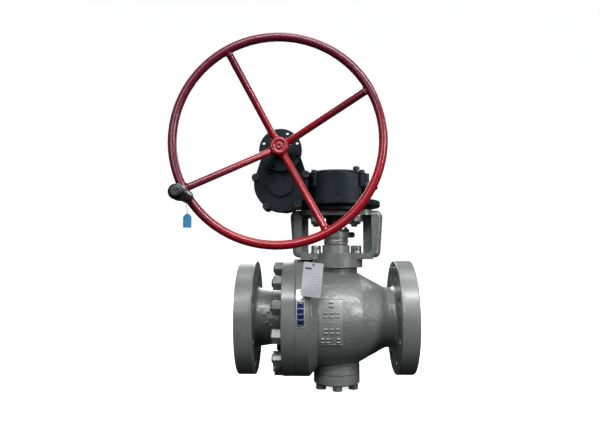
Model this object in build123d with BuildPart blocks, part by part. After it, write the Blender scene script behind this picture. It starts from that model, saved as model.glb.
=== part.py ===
from build123d import *
import os
from math import acos, cos, degrees, pi, radians, sin, sqrt, tan

# Gear operated trunnion ball valve, nominal bore 100, pressure class 600.
# Frame: origin at the ball centre, +X along the flow towards the body's own end flange,
# +Z up the stem, -Y towards the handwheel. Millimetres.

# ---- flow passage and end flanges ----
bore_r = 51.0
end_flange_r = 137.0
end_flange_t = 41.5
raised_face_r = 78.6
raised_face_h = 7.0
face_x_right = 189.0
face_x_left = -243.0
flange_x_right = face_x_right - raised_face_h
flange_x_left = face_x_left + raised_face_h
flange_back_right = flange_x_right - end_flange_t
flange_back_left = flange_x_left + end_flange_t
end_bolt_circle_r = 108.0
end_bolt_hole_r = 13.0
closure_bolt_hole_r = 13.25
end_bolt_count = 8

# ---- body joint between the two castings ----
joint_x = -97.4
joint_flange_r = 141.0
body_flange_x = -66.5
closure_flange_x = -129.4
stud_circle_r = 122.0
stud_count = 12
stud_r = 9.9
stud_hole_r = 11.0
stud_tap_r = 10.0
stud_tip_x = -153.0
stud_root_x = -73.0
nut_across_flats = 32.0
nut_h = 20.0

# ---- ball, seats and cavity ----
ball_r = 82.0
cavity_r = 88.0
pocket_r = 70.2
pocket_mouth_x = 66.0
pocket_floor_x = 92.0
seat_contact_r = 62.0

# ---- stem line, heights above the flow axis ----
stem_r = 16.0
run_gap = 0.05
stem_top_z = 300.0
thrust_z = 94.0
bonnet_foot_z = 96.0
bonnet_rim_z = 133.3
body_top_z = 141.3
body_top_flange_z = 121.7
body_top_r = 65.0
body_neck_r = 52.0
bonnet_r = 34.0
bonnet_rim_r = 44.0
bonnet_top_z = 176.0
packing_r = 21.0
packing_floor_z = 150.0
packing_top_z = 170.0
gland_low_z = 195.0
gland_top_z = 209.0
gland_r = 34.0
gland_neck_r = 30.0
gland_stud_circle_r = 27.0
fitting_z = 202.0
stem_ring_heights = [126.0, 136.0]
sleeve_r = 25.0
sleeve_low_z = 226.0
gland_stud_angle = 20.0

tang_low_z = 62.0
tang_w = 20.0
tang_len = 40.0
ball_flat_z = 78.0
key_low_z = 262.0
key_w = 10.0

# ---- lower trunnion ----
boss_r = 56.0
boss_low_z = -136.5
cover_low_z = -157.3
trunnion_r = 18.0
trunnion_top_z = -62.0
trunnion_bush_r = 22.0
trunnion_base_r = 31.0
trunnion_base_z = -79.5
cover_bolt_r = 7.0
cover_bolt_circle_r = 44.4
cover_bolt_count = 6

# ---- yoke between body and gearbox ----
yoke_base_z = 156.0
yoke_plate_low_z = 247.5
yoke_plate_top_z = 260.0
yoke_half_depth = 45.0
yoke_leg_in = 84.0
yoke_leg_out_top = 112.0
yoke_leg_out_low = 105.0
yoke_foot_x = 88.0
yoke_step_z = 145.5
base_screw_circle_r = 52.0
base_screw_angles = [17.5, -17.5, 162.5, 197.5]
base_screw_r = 8.0
gearbox_stud_circle_r = 70.0
gearbox_stud_r = 8.0
gearbox_stud_top_z = 281.0

# ---- worm gearbox ----
housing_foot_z = 270.0
housing_floor_z = 284.0
housing_rim_z = 334.0
cover_plate_z = 342.0
housing_top_z = 356.0
fan_end_angle = 58.0
housing_r_left = 108.0
housing_r_right = 74.0
wall = 7.0
mount_flange_r = 110.0
hub_journal_r = 38.0
worm_axis_x = -129.0
worm_axis_z = 311.5
input_axis_z = 385.0
worm_module = 4.5
worm_wheel_teeth = 42
worm_pitch_r = 34.5
tooth_fill = 0.46
wheel_face_w = 30.0
wheel_key_z = 285.0
first_tooth = -3
last_tooth = 13
segment_margin = 28.0
stop_y = 70.0
stop_tip_x = 40.9
tunnel_r = 48.0
tunnel_bore_r = 41.0
tunnel_front_y = -88.0
tunnel_back_y = 80.0
shaft_r = 15.0
stop_r = 6.0
vent_x = 52.0
cover_lug_r = 8.5
cover_lug_circle_r = 109.0
cover_lug_angles = [58, 122, 240, 302]
tunnel_screw_circle_r = 44.5
tunnel_screw_angles = [45, 135, 225, 315]
tunnel_screw_r = 2.5

# ---- spur gear head in front of the worm ----
spur_module = 3.0
spur_teeth = 32
pinion_teeth = 17
head_r = 62.0
head_neck_r = 36.0
head_split_y = -122.0
head_front_y = -134.0
head_inner_y = -96.0
input_flange_y = -150.0
input_flange_front_y = -160.0
input_flange_r = 48.0
input_hole_circle_r = 40.5
input_hole_r = 3.5
input_shaft_r = 12.0
lug_angles = [21, 165, 237, 309]
lug_circle_r = 60.0
lug_screw_r = 5.0

# ---- handwheel ----
wheel_r = 225.0
rim_tube_r = 9.3
rim_y = -264.0
hub_y = -185.0
hub_half_len = 19.0
hub_r = 19.5
hub_pin_y = -174.0
hub_pin_r = 3.0
spoke_r = 7.8
spoke_angles = [29, 119, 208, 298]
knob_angle = 213.5
knob_r = 15.0
knob_neck_r = 10.5
knob_head_y = -338.0
knob_pin_r = 5.0
knob_base_y = -281.0
knob_end_y = -372.0
knob_catch_y = -350.0
knob_pin_end_y = -360.0

# ---- plate and hanging tags ----
plate_x = -94.5
plate_w = 19.5
plate_start = 148.8
plate_sweep = 35.3
tag_centre = (-58.8, -146.5, 95.9)
tag_tilt = -6.0
tag_w = 44.0
tag_h = 76.0
tag_hole_y = 33.0
wire_ring_r = 4.2
wire_loop_r = 32.0
wire_loop_z = 186.0
blue_tag_z = 218.0

rim_centre_r = wheel_r - rim_tube_r
knob_x = worm_axis_x + rim_centre_r * cos(radians(knob_angle))
knob_z = input_axis_z + rim_centre_r * sin(radians(knob_angle))
worm_pitch = pi * worm_module
wheel_pitch_r = worm_module * worm_wheel_teeth / 2
spur_pitch_r = spur_module * spur_teeth / 2
pinion_pitch_r = spur_module * pinion_teeth / 2
pressure_angle = radians(20)
tan_lead = worm_module / (2 * worm_pitch_r)

os.makedirs("parts", exist_ok=True)


def finish(builder, name):
    """Label a finished sub-part and write its STEP file."""
    builder.part.label = name
    export_step(builder.part, f"parts/{name}.step")


def along_x(x):
    """Plane square to the flow axis at x; its own x is +Y and its own y is +Z."""
    return Plane(origin=(x, 0, 0), x_dir=(0, 1, 0), z_dir=(1, 0, 0))


def along_y(y, x=worm_axis_x, z=worm_axis_z):
    """Plane square to Y, facing the handwheel (-Y); its own x is +X and its own y is +Z."""
    return Plane(origin=(x, y, z), x_dir=(1, 0, 0), z_dir=(0, -1, 0))


def ring_x(x0, x1, outer, inner=0.0, mode=Mode.ADD):
    """Cylinder or ring about the flow axis from x0 to x1."""
    with BuildSketch(along_x(x0)) as profile:
        Circle(outer)
        if inner > 0:
            Circle(inner, mode=Mode.SUBTRACT)
    extrude(profile.sketch, amount=x1 - x0, mode=mode)


def ring_z(z0, z1, outer, inner=0.0, mode=Mode.ADD, x=0.0, y=0.0):
    """Cylinder or ring about a vertical axis from z0 to z1."""
    with BuildSketch(Plane(origin=(x, y, z0))) as profile:
        Circle(outer)
        if inner > 0:
            Circle(inner, mode=Mode.SUBTRACT)
    extrude(profile.sketch, amount=z1 - z0, mode=mode)


def ring_y(y_back, y_front, outer, inner=0.0, mode=Mode.ADD, x=worm_axis_x, z=worm_axis_z):
    """Cylinder or ring about an axis along Y, from y_back forwards (-Y) to y_front."""
    with BuildSketch(along_y(y_back, x, z)) as profile:
        Circle(outer)
        if inner > 0:
            Circle(inner, mode=Mode.SUBTRACT)
    extrude(profile.sketch, amount=y_back - y_front, mode=mode)


def holes_x(x0, x1, radius, circle_r, count, start, mode=Mode.SUBTRACT):
    """Round holes or pins along X on a circle about the flow axis."""
    with BuildSketch(along_x(x0)) as profile:
        with PolarLocations(circle_r, count, start_angle=start):
            Circle(radius)
    extrude(profile.sketch, amount=x1 - x0, mode=mode)


def holes_z(z0, z1, radius, circle_r, count, start, mode=Mode.SUBTRACT):
    """Round holes or pins along Z on a circle about the stem axis."""
    with BuildSketch(Plane.XY.offset(z0)) as profile:
        with PolarLocations(circle_r, count, start_angle=start):
            Circle(radius)
    extrude(profile.sketch, amount=z1 - z0, mode=mode)


def involute(angle):
    """The involute function of an angle in radians."""
    return tan(angle) - angle


def round_corner(sketch, x, y, radius):
    """Round the corner of a sketch nearest to x, y."""
    corner = sketch.vertices().sort_by_distance((x, y))[0]
    fillet(corner, radius)


def fan_outline(r_left, r_right):
    """Plan of the gear case: a wide arc round the quadrant and a tight one round its hub."""
    turn = radians(fan_end_angle)
    corner = (r_left * cos(turn), r_left * sin(turn))
    touch = turn - acos(r_right / r_left)
    tangent = (r_right * cos(touch), r_right * sin(touch))
    with BuildLine() as outline:
        CenterArc((0, 0), r_left, fan_end_angle, 360 - 2 * fan_end_angle)
        Line((corner[0], -corner[1]), (tangent[0], -tangent[1]))
        CenterArc((0, 0), r_right, -degrees(touch), 2 * degrees(touch))
        Line(tangent, corner)
    make_face(outline.line)


def fan_block(z0, z1, r_left, r_right, mode=Mode.ADD):
    """Upright block with the plan of the gear case."""
    with BuildSketch(Plane.XY.offset(z0)) as profile:
        fan_outline(r_left, r_right)
    extrude(profile.sketch, amount=z1 - z0, mode=mode)


def head_block(y_back, y_front, lower_r, upper_r, mode=Mode.ADD):
    """Block along Y whose face wraps the worm axis below and the input axis above."""
    with BuildSketch(along_y(y_back, z=0)) as profile:
        with Locations((0, worm_axis_z)):
            Circle(lower_r)
        with Locations((0, input_axis_z)):
            Circle(upper_r)
        make_hull()
    extrude(profile.sketch, amount=y_back - y_front, mode=mode)


def tunnel_screw_holes(y_back, y_front, radius, mode=Mode.SUBTRACT):
    """Small cylinders along Y at the screw places of the worm tunnel's ends."""
    for angle in tunnel_screw_angles:
        spot_x, spot_z = on_circle(tunnel_screw_circle_r, angle)
        ring_y(y_back, y_front, radius, mode=mode, x=worm_axis_x + spot_x, z=worm_axis_z + spot_z)


def hexagon_x(x0, x1, across_flats, y, z, hole_r=0.0):
    """Hexagon nut or head along X at y, z."""
    with BuildSketch(along_x(x0)) as profile:
        with Locations((y, z)):
            RegularPolygon(across_flats / 2, 6, major_radius=False)
            if hole_r > 0:
                Circle(hole_r, mode=Mode.SUBTRACT)
    extrude(profile.sketch, amount=x1 - x0)


def hexagon_z(z0, z1, across_flats, x, y, hole_r=0.0, turn=0.0):
    """Hexagon nut or head along Z at x, y."""
    with BuildSketch(Plane.XY.offset(z0)) as profile:
        with Locations(Location((x, y), turn)):
            RegularPolygon(across_flats / 2, 6, major_radius=False)
            if hole_r > 0:
                Circle(hole_r, mode=Mode.SUBTRACT)
    extrude(profile.sketch, amount=z1 - z0)


def on_circle(radius, angle):
    """Point on a circle, from its angle in degrees."""
    return (radius * cos(radians(angle)), radius * sin(radians(angle)))


cover_lugs = [(76.0, 0.0)] + [on_circle(cover_lug_circle_r, angle) for angle in cover_lug_angles]


def turned_z(z, angle):
    """Level sketch plane on the vertical axis at z, its local x turned from +X by the angle."""
    return Plane(origin=(0, 0, z), x_dir=(cos(radians(angle)), sin(radians(angle)), 0), z_dir=(0, 0, 1))


def turned_y(y, z, angle):
    """Sketch plane facing -Y on the worm or input axis, its local x turned from +X towards +Z."""
    turn_dir = (cos(radians(angle)), 0, sin(radians(angle)))
    return Plane(origin=(worm_axis_x, y, z), x_dir=turn_dir, z_dir=(0, -1, 0))


def tooth_outline(pitch_r, module, root_r, tip_r):
    """One gear tooth pointing along the sketch's x, with involute flanks, drawn as a face."""
    base_r = pitch_r * cos(pressure_angle)
    half_at_pitch = tooth_fill * pi * module / (2 * pitch_r) + involute(pressure_angle)

    def flank_point(r, side):
        roll = involute(acos(min(1.0, base_r / r)))
        angle = side * (half_at_pitch - roll)
        return (r * cos(angle), r * sin(angle))

    flank_radii = [max(base_r, root_r), pitch_r, (pitch_r + tip_r) / 2, tip_r]
    upper = [flank_point(r, 1) for r in flank_radii]
    lower = [flank_point(r, -1) for r in reversed(flank_radii)]
    buried_r = root_r - module / 2
    foot_up = (buried_r, upper[0][1])
    foot_low = (buried_r, lower[-1][1])
    with BuildLine() as flanks:
        Line(foot_up, upper[0])
        Spline(*upper)
        Line(upper[-1], lower[0])
        Spline(*lower)
        Line(lower[-1], foot_low)
        Line(foot_low, foot_up)
    make_face(flanks.line)


# ============================================================ valve castings

with BuildPart() as body:
    # Casting with its own end flange, revolved about the flow axis.
    with BuildSketch(Plane.XZ) as outline:
        with BuildLine():
            Polyline((joint_x, 0), (joint_x, joint_flange_r), (body_flange_x, joint_flange_r),
                     (-47, 121))
            ThreePointArc((-47, 121), (8, 118.5), (56, 106))
            Polyline((56, 106), (116, 73), (flange_back_right, 71), (flange_back_right, end_flange_r),
                     (flange_x_right, end_flange_r), (flange_x_right, raised_face_r),
                     (face_x_right, raised_face_r), (face_x_right, 0), (joint_x, 0))
        make_face()
        round_corner(outline, flange_back_right, 71, 9)
        round_corner(outline, 116, 73, 25)
        round_corner(outline, flange_x_right, end_flange_r, 2)
        round_corner(outline, flange_back_right, end_flange_r, 2)
        round_corner(outline, joint_x, joint_flange_r, 1.5)
    revolve(axis=Axis.X)
    ring_z(0, body_top_z, body_neck_r)
    ring_z(boss_low_z, 0, boss_r)
    ring_z(body_top_flange_z, body_top_z, body_top_r)
    # Cavity, right-hand seat pocket and flow bore.
    with BuildSketch(Plane.XZ) as hollow:
        Polygon((joint_x, 0), (joint_x, cavity_r), (40, cavity_r), (pocket_mouth_x, 74),
                (pocket_mouth_x, pocket_r), (pocket_floor_x, pocket_r), (pocket_floor_x, bore_r),
                (face_x_right, bore_r), (face_x_right, 0), align=None)
    revolve(axis=Axis.X, mode=Mode.SUBTRACT)
    ring_z(60, bonnet_rim_z, bonnet_r + 0.1, mode=Mode.SUBTRACT)
    ring_z(bonnet_rim_z, body_top_z, bonnet_rim_r + 0.1, mode=Mode.SUBTRACT)
    ring_z(boss_low_z, -60, trunnion_base_r + 0.1, mode=Mode.SUBTRACT)
    # Gasket grooves, tapped holes and flange bolt holes.
    ring_x(joint_x, joint_x + 4, 104, 92, mode=Mode.SUBTRACT)
    ring_z(boss_low_z, boss_low_z + 2, 36.5, trunnion_base_r, mode=Mode.SUBTRACT)
    holes_x(joint_x, stud_root_x + 1, stud_tap_r, stud_circle_r, stud_count, 15)
    holes_x(flange_back_right - 1, flange_x_right + 1, end_bolt_hole_r, end_bolt_circle_r, end_bolt_count,
            22.5)
    holes_z(boss_low_z, boss_low_z + 27, cover_bolt_r + 0.1, cover_bolt_circle_r, cover_bolt_count, 30)
    for angle in base_screw_angles:
        holes_z(body_top_z - 21, body_top_z, base_screw_r + 0.1, base_screw_circle_r, 1, angle)
finish(body, "body")

with BuildPart() as end_closure:
    # Left-hand casting: end flange, neck, joint flange and the spigot that enters the body.
    with BuildSketch(Plane.XZ) as outline:
        Polygon((face_x_left, 0), (face_x_left, raised_face_r), (flange_x_left, raised_face_r),
                (flange_x_left, end_flange_r), (flange_back_left, end_flange_r), (flange_back_left, 72),
                (-150, 65.5), (closure_flange_x, 66), (closure_flange_x, joint_flange_r),
                (joint_x, joint_flange_r), (joint_x, cavity_r - 0.1), (-pocket_mouth_x, cavity_r - 0.1),
                (-pocket_mouth_x, 0), align=None)
        round_corner(outline, flange_back_left, 72, 9)
        round_corner(outline, -150, 65.5, 30)
        round_corner(outline, closure_flange_x, 66, 11)
        round_corner(outline, flange_back_left, end_flange_r, 2)
        round_corner(outline, flange_x_left, end_flange_r, 2)
        round_corner(outline, closure_flange_x, joint_flange_r, 1.5)
        round_corner(outline, joint_x, joint_flange_r, 1.5)
    revolve(axis=Axis.X)
    ring_x(face_x_left, -pocket_floor_x, bore_r, mode=Mode.SUBTRACT)
    ring_x(-pocket_floor_x, -pocket_mouth_x, pocket_r, mode=Mode.SUBTRACT)
    ring_x(-84, -77, cavity_r, 82.8, mode=Mode.SUBTRACT)
    holes_x(flange_x_left - 1, flange_back_left + 1, closure_bolt_hole_r, end_bolt_circle_r, end_bolt_count,
            22.5)
    holes_x(closure_flange_x, joint_x, stud_hole_r, stud_circle_r, stud_count, 15)
finish(end_closure, "end_closure")

with BuildPart() as body_gasket:
    ring_x(joint_x + 0.05, joint_x + 3.95, 103.9, 92.1)
finish(body_gasket, "body_gasket")

with BuildPart() as body_studs:
    holes_x(stud_tip_x, stud_root_x, stud_r, stud_circle_r, stud_count, 15, mode=Mode.ADD)
    tips = body_studs.edges().filter_by(GeomType.CIRCLE).group_by(Axis.X)[0]
    chamfer(tips, 1.5)
finish(body_studs, "body_studs")

with BuildPart() as body_nuts:
    for index in range(stud_count):
        spot_y, spot_z = on_circle(stud_circle_r, 15 + index * 360 / stud_count)
        hexagon_x(closure_flange_x - nut_h, closure_flange_x, nut_across_flats, spot_y, spot_z, stud_r + 0.1)
finish(body_nuts, "body_nuts")

# ============================================================ ball and seats

with BuildPart() as ball:
    Sphere(ball_r)
    ring_x(-ball_r, ball_r, bore_r, mode=Mode.SUBTRACT)
    ring_z(ball_flat_z, ball_r, ball_r, mode=Mode.SUBTRACT)
    ring_z(-ball_r, -ball_flat_z, ball_r, mode=Mode.SUBTRACT)
    ring_z(-ball_flat_z, -60, trunnion_bush_r, mode=Mode.SUBTRACT)
    with BuildSketch(Plane.XY.offset(tang_low_z - 0.5)):
        Rectangle(tang_len + 0.2, tang_w + 0.2)
    extrude(amount=ball_r - tang_low_z, mode=Mode.SUBTRACT)
finish(ball, "ball")

with BuildPart() as seat_rings:
    with BuildSketch(Plane.XZ):
        Polygon((64.9, bore_r), (59.4, 58), (64, 58), (64, 66), (52, 66), (52, 70), (75.6, 70),
                (75.6, 66.2), (80.4, 66.2), (80.4, 70), (90, 70), (90, bore_r), align=None)
    revolve(axis=Axis.X)
    mirror(about=Plane.YZ)
finish(seat_rings, "seat_rings")

with BuildPart() as seat_inserts:
    # Polymer ring whose face is the ball's sphere with a running gap.
    face_r = ball_r + run_gap
    inner_point = (sqrt(face_r ** 2 - 58.1 ** 2), 58.1)
    middle_point = (sqrt(face_r ** 2 - seat_contact_r ** 2), seat_contact_r)
    outer_point = (sqrt(face_r ** 2 - 65.9 ** 2), 65.9)
    with BuildSketch(Plane.XZ):
        with BuildLine():
            ThreePointArc(inner_point, middle_point, outer_point)
            Polyline(outer_point, (63.9, 65.9), (63.9, 58.1), inner_point)
        make_face()
    revolve(axis=Axis.X)
    mirror(about=Plane.YZ)
finish(seat_inserts, "seat_inserts")

with BuildPart() as seat_o_rings:
    with BuildSketch(Plane.XZ):
        with Locations((78, 68.2)):
            Circle(1.9)
    revolve(axis=Axis.X)
    mirror(about=Plane.YZ)
finish(seat_o_rings, "seat_o_rings")

with BuildPart() as seat_springs:
    # Coned spring washer between the seat ring and the pocket floor.
    with BuildSketch(Plane.XZ):
        Polygon((90.05, 56), (91.0, 56), (91.95, 67), (91.0, 67), align=None)
    revolve(axis=Axis.X)
    mirror(about=Plane.YZ)
finish(seat_springs, "seat_springs")

# ============================================================ stem line

with BuildPart() as stem:
    with BuildSketch(Plane.XY.offset(tang_low_z)):
        Rectangle(tang_len, tang_w)
    extrude(amount=86 - tang_low_z)
    ring_z(86, thrust_z, 24)
    ring_z(thrust_z, stem_top_z, stem_r)
    with BuildSketch(Plane(origin=(12, 0, key_low_z))):
        Rectangle(8, key_w + 0.1, align=(Align.MIN, Align.CENTER))
    extrude(amount=stem_top_z - key_low_z, mode=Mode.SUBTRACT)
    stem_top_edge = stem.edges().filter_by(GeomType.CIRCLE).group_by(Axis.Z)[-1]
    chamfer(stem_top_edge, 1.5)
finish(stem, "stem")

with BuildPart() as thrust_washer:
    ring_z(thrust_z + run_gap, bonnet_foot_z, 24, stem_r + run_gap)
finish(thrust_washer, "thrust_washer")

with BuildPart() as bonnet:
    # Stuffing box: foot inside the body neck, clamped rim, and the boss that shows above the yoke.
    ring_z(bonnet_foot_z, bonnet_top_z, bonnet_r, stem_r + 0.3)
    ring_z(bonnet_rim_z, body_top_z, bonnet_rim_r, bonnet_r - 1)
    ring_z(bonnet_foot_z, bonnet_foot_z + 24, 19, mode=Mode.SUBTRACT)
    ring_z(packing_floor_z, bonnet_top_z, packing_r, mode=Mode.SUBTRACT)
    for groove_z in stem_ring_heights:
        ring_z(groove_z - 2.6, groove_z + 2.6, 20.2, mode=Mode.SUBTRACT)
    holes_z(bonnet_top_z - 18, bonnet_top_z, 4.1, gland_stud_circle_r, 2, gland_stud_angle)
    ring_z(114, 119, bonnet_r + 1, 29.8, mode=Mode.SUBTRACT)
finish(bonnet, "bonnet")

with BuildPart() as stem_bush:
    ring_z(bonnet_foot_z + 0.1, bonnet_foot_z + 23.9, 18.95, stem_r + run_gap)
finish(stem_bush, "stem_bush")

with BuildPart() as o_rings:
    # Seals of the body joint, the bonnet, the stem and the lower trunnion.
    with BuildSketch(Plane.XZ):
        with Locations((-80.5, 85.35)):
            Circle(2.5)
    revolve(axis=Axis.X)
    upright_seals = [(32.0, 116.5, 2.1), (29.05, -109.0, 2.0)]
    upright_seals += [(stem_r + run_gap + 2.0, groove_z, 2.0) for groove_z in stem_ring_heights]
    for seal_r, seal_z, cord_r in upright_seals:
        with BuildSketch(Plane.XZ):
            with Locations((seal_r, seal_z)):
                Circle(cord_r)
        revolve(axis=Axis.Z)
finish(o_rings, "o_rings")

with BuildPart() as gland_packing:
    for low_z in (packing_floor_z, packing_floor_z + 6.7, packing_floor_z + 13.4):
        ring_z(low_z, low_z + 6.6, packing_r - 0.05, stem_r + run_gap)
finish(gland_packing, "gland_packing")

with BuildPart() as gland_follower:
    ring_z(packing_top_z, gland_low_z, packing_r - 0.1, stem_r + 0.3)
    ring_z(bonnet_top_z + 2, gland_low_z, gland_neck_r, stem_r + 0.3)
    ring_z(gland_low_z, gland_top_z, gland_r, stem_r + 0.3)
    top_edges = gland_follower.edges().filter_by(GeomType.CIRCLE).group_by(Axis.Z)[-1]
    chamfer(top_edges.sort_by(SortBy.RADIUS)[-1], 1.5)
    gland_stud_spots = [on_circle(gland_stud_circle_r, gland_stud_angle + turn) for turn in (0, 180)]
    for stud_x, stud_y in gland_stud_spots:
        ring_z(bonnet_top_z + 2, gland_top_z, 4.4, mode=Mode.SUBTRACT, x=stud_x, y=stud_y)
    with BuildSketch(along_x(gland_r - 6)) as fitting_hole:
        with Locations((0, fitting_z)):
            Circle(3.1)
    extrude(fitting_hole.sketch, amount=12, mode=Mode.SUBTRACT)
finish(gland_follower, "gland_follower")

with BuildPart() as gland_studs:
    holes_z(bonnet_top_z - 17, gland_top_z + 13, 4.0, gland_stud_circle_r, 2, gland_stud_angle, mode=Mode.ADD)
finish(gland_studs, "gland_studs")

with BuildPart() as gland_nuts:
    for stud_x, stud_y in gland_stud_spots:
        hexagon_z(gland_top_z, gland_top_z + 8, 15, stud_x, stud_y, 4.05)
finish(gland_nuts, "gland_nuts")

with BuildPart() as packing_fitting:
    # Sealant fitting in the side of the gland: spigot, hexagon and nipple.
    with BuildSketch(along_x(gland_r - 5.5)) as spigot:
        with Locations((0, fitting_z)):
            Circle(3.0)
    extrude(spigot.sketch, amount=6)
    hexagon_x(gland_r, gland_r + 11, 14, 0, fitting_z)
    with BuildSketch(along_x(gland_r + 11)) as nipple:
        with Locations((0, fitting_z)):
            Circle(4.5)
    extrude(nipple.sketch, amount=2, taper=8)
finish(packing_fitting, "packing_fitting")

with BuildPart() as drive_sleeve:
    ring_z(sleeve_low_z, 302, sleeve_r, stem_r + 0.02)
    with BuildSketch(Plane(origin=(12, 0, key_low_z))):
        Rectangle(8.2, key_w + 0.1, align=(Align.MIN, Align.CENTER))
    extrude(amount=302 - key_low_z, mode=Mode.SUBTRACT)
    with BuildSketch(Plane(origin=(-22, 0, wheel_key_z))):
        Rectangle(6, key_w + 0.1, align=(Align.MAX, Align.CENTER))
    extrude(amount=302 - wheel_key_z, mode=Mode.SUBTRACT)
finish(drive_sleeve, "drive_sleeve")

with BuildPart() as drive_keys:
    # Stem to sleeve on one side, sleeve to gear on the other.
    with BuildSketch(Plane(origin=(12.05, 0, key_low_z + 0.1))):
        Rectangle(8, key_w, align=(Align.MIN, Align.CENTER))
    extrude(amount=35)
    with BuildSketch(Plane(origin=(-22.05, 0, wheel_key_z + 0.1))) as gear_key:
        Rectangle(6, key_w, align=(Align.MAX, Align.CENTER))
    extrude(gear_key.sketch, amount=58)
finish(drive_keys, "drive_keys")

# ============================================================ lower trunnion

with BuildPart() as lower_trunnion:
    ring_z(boss_low_z + 0.1, trunnion_base_z, trunnion_base_r)
    ring_z(trunnion_base_z, trunnion_top_z, trunnion_r)
    ring_z(-112, -106, trunnion_base_r + 1, trunnion_base_r - 4, mode=Mode.SUBTRACT)
finish(lower_trunnion, "lower_trunnion")

with BuildPart() as trunnion_bush:
    ring_z(-ball_flat_z + 0.2, -60.2, trunnion_bush_r - 0.05, trunnion_r + run_gap)
finish(trunnion_bush, "trunnion_bush")

with BuildPart() as trunnion_washer:
    ring_z(trunnion_base_z, -ball_flat_z - run_gap, 25, trunnion_r + 0.05)
finish(trunnion_washer, "trunnion_washer")

with BuildPart() as bottom_gasket:
    ring_z(boss_low_z + 0.05, boss_low_z + 1.95, 36.4, trunnion_base_r + 0.15)
finish(bottom_gasket, "bottom_gasket")

with BuildPart() as bottom_cover:
    ring_z(cover_low_z, boss_low_z, boss_r)
    chamfer(bottom_cover.edges().group_by(Axis.Z)[0], 3)
    holes_z(cover_low_z, boss_low_z, cover_bolt_r + 0.4, cover_bolt_circle_r, cover_bolt_count, 30)
finish(bottom_cover, "bottom_cover")

with BuildPart() as bottom_bolts:
    for index in range(cover_bolt_count):
        bolt_x, bolt_y = on_circle(cover_bolt_circle_r, 30 + index * 360 / cover_bolt_count)
        ring_z(cover_low_z - 2, cover_low_z, 12, x=bolt_x, y=bolt_y)
        hexagon_z(cover_low_z - 11, cover_low_z - 2, 21, bolt_x, bolt_y, turn=12 + 17 * index)
        ring_z(cover_low_z, boss_low_z + 25, cover_bolt_r, x=bolt_x, y=bolt_y)
finish(bottom_bolts, "bottom_bolts")

# ============================================================ yoke

with BuildPart() as yoke:
    # Round base on the valve, two legs tied by webs, and the plate that carries the gearbox.
    ring_z(body_top_z, yoke_base_z, 64)
    with BuildSketch(Plane.XZ.offset(-yoke_half_depth)) as side:
        with BuildLine():
            Polyline((-yoke_leg_in, yoke_plate_low_z), (-yoke_leg_in, 160), (-70, yoke_base_z),
                     (-40, yoke_base_z), (-40, body_top_z), (-yoke_foot_x, body_top_z),
                     (-yoke_foot_x, yoke_step_z), (-yoke_leg_out_low, yoke_step_z), (-yoke_leg_out_top, 240),
                     (-yoke_leg_out_top, yoke_plate_top_z),
                     (-yoke_leg_in, yoke_plate_top_z), (-yoke_leg_in, yoke_plate_low_z))
        make_face()
        round_corner(side, -yoke_leg_out_top, yoke_plate_top_z, 16)
        round_corner(side, -yoke_leg_in, 160, 8)
        round_corner(side, -yoke_leg_out_low, yoke_step_z, 14)
    extrude(amount=2 * yoke_half_depth)
    outer_corners = yoke.faces().filter_by(Plane.XZ).edges().filter_by(lambda e: e.center().X < -100)
    fillet(outer_corners, 11)
    mirror(about=Plane.YZ)
    with BuildSketch(Plane.XY.offset(yoke_plate_low_z)):
        RectangleRounded(2 * yoke_leg_in + 4, 124, 22)
    extrude(amount=yoke_plate_top_z - yoke_plate_low_z)
    for side_sign in (-1, 1):
        with BuildSketch(Plane.XY.offset(yoke_base_z - 2)):
            with Locations((side_sign * 76.5, 0)):
                Rectangle(16, 22)
        extrude(amount=yoke_plate_low_z - yoke_base_z + 4)
    ring_z(body_top_z, yoke_base_z, bonnet_r + 0.2, mode=Mode.SUBTRACT)
    ring_z(yoke_plate_low_z, yoke_plate_top_z, 30, mode=Mode.SUBTRACT)
    for angle in base_screw_angles:
        holes_z(body_top_z, yoke_base_z, base_screw_r + 0.5, base_screw_circle_r, 1, angle)
    holes_z(yoke_plate_low_z, yoke_plate_top_z, gearbox_stud_r + 0.5, gearbox_stud_circle_r, 4, 45)
finish(yoke, "yoke")

with BuildPart() as gearbox_studs:
    holes_z(yoke_plate_low_z - 22, gearbox_stud_top_z, gearbox_stud_r, gearbox_stud_circle_r, 4, 45,
            mode=Mode.ADD)
    chamfer(gearbox_studs.edges().filter_by(GeomType.CIRCLE).group_by(Axis.Z)[0], 1.2)
finish(gearbox_studs, "gearbox_studs")

with BuildPart() as gearbox_nuts:
    # A plain washer and a hexagon nut under the yoke plate at each stud.
    for index in range(4):
        stud_x, stud_y = on_circle(gearbox_stud_circle_r, 45 + 90 * index)
        ring_z(yoke_plate_low_z - 3, yoke_plate_low_z, 15, gearbox_stud_r + 0.1, x=stud_x, y=stud_y)
        hexagon_z(yoke_plate_low_z - 16, yoke_plate_low_z - 3, 24, stud_x, stud_y, gearbox_stud_r + 0.1,
                  turn=20 * index)
finish(gearbox_nuts, "gearbox_nuts")

with BuildPart() as yoke_screws:
    # Socket head screws with washers, through the yoke base into the body.
    for angle in base_screw_angles:
        screw_x, screw_y = on_circle(base_screw_circle_r, angle)
        ring_z(yoke_base_z, yoke_base_z + 3, 13, x=screw_x, y=screw_y)
        ring_z(yoke_base_z + 3, yoke_base_z + 19, 12, x=screw_x, y=screw_y)
        ring_z(body_top_z - 20, yoke_base_z, base_screw_r, x=screw_x, y=screw_y)
        with BuildSketch(Plane(origin=(screw_x, screw_y, yoke_base_z + 19))) as socket:
            RegularPolygon(7, 6, major_radius=False)
        extrude(socket.sketch, amount=-8, mode=Mode.SUBTRACT)
finish(yoke_screws, "yoke_screws")

# ============================================================ worm gearbox

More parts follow.
